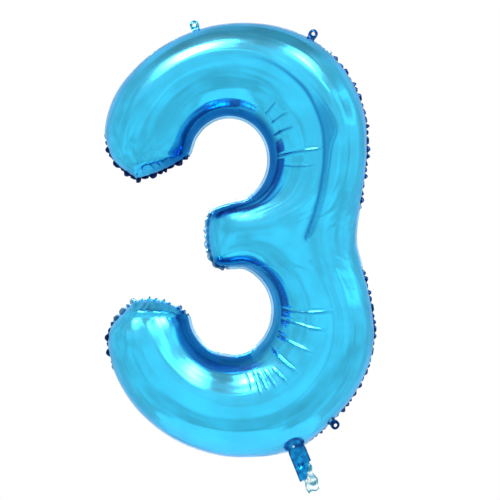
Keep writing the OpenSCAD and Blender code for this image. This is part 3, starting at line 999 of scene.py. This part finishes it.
dress(front, FOIL, "front_panel")
dress(back, FOIL, "back_panel")
dress(seal, SEAL, "edge_seal")
for piece in (front, back, seal):
    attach(piece, "envelope")
for node, tab in tabs.items():
    dress(tab, TAB, node)
dress(neck_front, NECK, "neck_front_foil")
dress(neck_back, NECK, "neck_back_foil")
for weld in side_welds:
    dress(weld, NECK, "neck_side_welds")
for node, film in films.items():
    if node == "valve_release_ink":
        dress(film, INK, node)
    else:
        dress(film, FILM, node)
# The CAD's own pieces that stay in view
for node, material in (("neck_weld", NECK), ("valve_tongue_front_film", FILM),
                       ("valve_tongue_back_film", FILM)):
    frame["nodes"][node].data.materials.clear()
    frame["nodes"][node].data.materials.append(material)


# ---------------------------------------------------------------- studio
def figure_point(x, y, z):
    return Vector(to_frame(np.array(x), np.array(y), np.array(z)))


FLOOR_Z = -2.1
FLOOR_MIDDLE, FLOOR_SPREAD = 0.05, 1.3


def floor():
    """A round pale floor well below the hanging balloon."""
    centre = figure_point(0, 0, 0)
    rings, sides = 10, 96
    points = []
    for r in range(rings + 1):
        for k in range(sides):
            a = 2 * math.pi * k / sides
            radius = FLOOR_MIDDLE + FLOOR_SPREAD * (r / rings) ** 1.2
            points.append((centre.x + radius * math.cos(a), radius * math.sin(a), FLOOR_Z))
    faces = []
    for r in range(rings):
        for k in range(sides):
            m = (k + 1) % sides
            faces.append((r * sides + k, (r + 1) * sides + k, (r + 1) * sides + m, r * sides + m))
    faces.append(tuple(range(sides)))
    obj = make_mesh("floor", points, faces)
    mat, nodes, links, bsdf = new_material("white_paper", {"Roughness": 0.9})
    colour = colour_ramp(nodes, links, noise_value(nodes, links, "Object", 3, 2), (
        (0, (0.54, 0.54, 0.54)), (1, (0.59, 0.59, 0.59))))
    links.new(colour, bsdf.inputs["Base Color"])
    obj.data.materials.append(mat)


def studio_world():
    """Plain white to the eye. In reflections: a pale uneven room, a little brighter in front, with
    a dim ceiling and the soft lights listed below."""
    world = bpy.data.worlds.new("studio")
    bpy.context.scene.world = world
    world.use_nodes = True
    nodes, links = world.node_tree.nodes, world.node_tree.links
    background = nodes["Background"]
    coord = nodes.new("ShaderNodeTexCoord")
    split = nodes.new("ShaderNodeSeparateXYZ")
    links.new(coord.outputs["Generated"], split.inputs["Vector"])

    def ramp(source, stops):
        node = nodes.new("ShaderNodeMapRange")
        node.interpolation_type = "SMOOTHSTEP"
        (x0, y0), (x1, y1) = stops
        node.inputs["From Min"].default_value, node.inputs["From Max"].default_value = x0, x1
        node.inputs["To Min"].default_value, node.inputs["To Max"].default_value = y0, y1
        links.new(source, node.inputs["Value"])
        return node.outputs["Result"]

    def maths(operation, a, b=None):
        node = nodes.new("ShaderNodeMath")
        node.operation = operation
        for socket, value in zip(node.inputs, (a, b)):
            if isinstance(value, (int, float)):
                socket.default_value = value
            elif value is not None:
                links.new(value, socket)
        return node.outputs["Value"]

    def dot(axis):
        node = nodes.new("ShaderNodeVectorMath")
        node.operation = "DOT_PRODUCT"
        links.new(coord.outputs["Generated"], node.inputs[0])
        node.inputs[1].default_value = axis
        return node.outputs["Value"]

    def soft_light(azimuth, elevation, half_wide, half_high, strength, roll, edge):
        """A soft-edged rectangular glow in this direction; sizes in degrees."""
        a, e, r = (math.radians(v) for v in (azimuth, elevation, roll))
        centre = Vector((math.sin(a) * math.cos(e), -math.cos(a) * math.cos(e), math.sin(e)))
        right = Vector((math.cos(a), math.sin(a), 0))
        up = centre.cross(right) * -1
        if up.z < 0:
            up = -up
        across = (right * math.cos(r) + up * math.sin(r)) / math.sin(math.radians(half_wide))
        upward = (up * math.cos(r) - right * math.sin(r)) / math.sin(math.radians(half_high))
        total = maths("ADD", maths("POWER", maths("ABSOLUTE", dot(across)), edge),
                      maths("POWER", maths("ABSOLUTE", dot(upward)), edge))
        glow = maths("MULTIPLY", maths("EXPONENT", maths("MULTIPLY", total, -1.0)), strength)
        return maths("MULTIPLY", glow, maths("GREATER_THAN", dot(centre), 0.0))

    room = ramp(split.outputs["Y"], ((-0.80, 1.07), (-0.50, 0.94)))
    ceiling = ramp(split.outputs["Z"], ((0.60, 1.0), (0.95, 0.48)))
    uneven = ramp(noise_value(nodes, links, "Generated", 3.4, 4), ((0.36, 0.83), (0.64, 1.14)))
    level = maths("MULTIPLY", maths("MULTIPLY", room, uneven), ceiling)
    for light in LIGHTS:
        level = maths("ADD", level, soft_light(*light))
    path = nodes.new("ShaderNodeLightPath")
    seen = nodes.new("ShaderNodeMix")
    links.new(path.outputs["Is Camera Ray"], seen.inputs["Factor"])
    links.new(level, seen.inputs["A"])
    seen.inputs["B"].default_value = 1.0
    links.new(seen.outputs["Result"], background.inputs["Strength"])
    background.inputs["Color"].default_value = (1, 1, 1, 1)


# Soft lights: azimuth from the front towards the right, elevation, half width, half height,
# strength, roll, sharpness of the edge. The fifth is a darker patch low in front, and the last two
# leave the bright outline of a window.
LIGHTS = [
    (-37, 57, 9.5, 8.5, 48, 33, 2.6),
    (42, 48, 7, 10.5, 28, -45, 2.4),
    (-24, 40, 15, 1.6, 4, 0, 3.2),
    (40, 27, 6, 2.0, 4, 0, 3.2),
    (4, -33, 40, 17, -0.22, 0, 3),
    (77, 21, 20, 9, 1.5, 0, 10),
    (77, 21, 17.5, 7.4, -1.5, 0, 10),
]
CAMERA_DISTANCE, CAMERA_SENSOR = 2.8, 36
# Width of the seam's plane that the picture takes in, and the place in it that the camera faces
VIEW_WIDTH = 0.9885
VIEW_MIDDLE = (20, 0, -21)


def level_camera():
    """A camera straight in front of the figure."""
    data = bpy.data.cameras.new("camera")
    data.sensor_width = CAMERA_SENSOR
    data.lens = CAMERA_SENSOR * CAMERA_DISTANCE / VIEW_WIDTH
    camera = bpy.data.objects.new("camera", data)
    camera.location = figure_point(*VIEW_MIDDLE) + Vector((0, -CAMERA_DISTANCE, 0))
    camera.rotation_euler = (math.radians(90), 0, 0)
    bpy.context.collection.objects.link(camera)
    return camera


floor()
studio_world()
scene = bpy.context.scene
scene.view_settings.view_transform = "Standard"
scene.camera = level_camera()
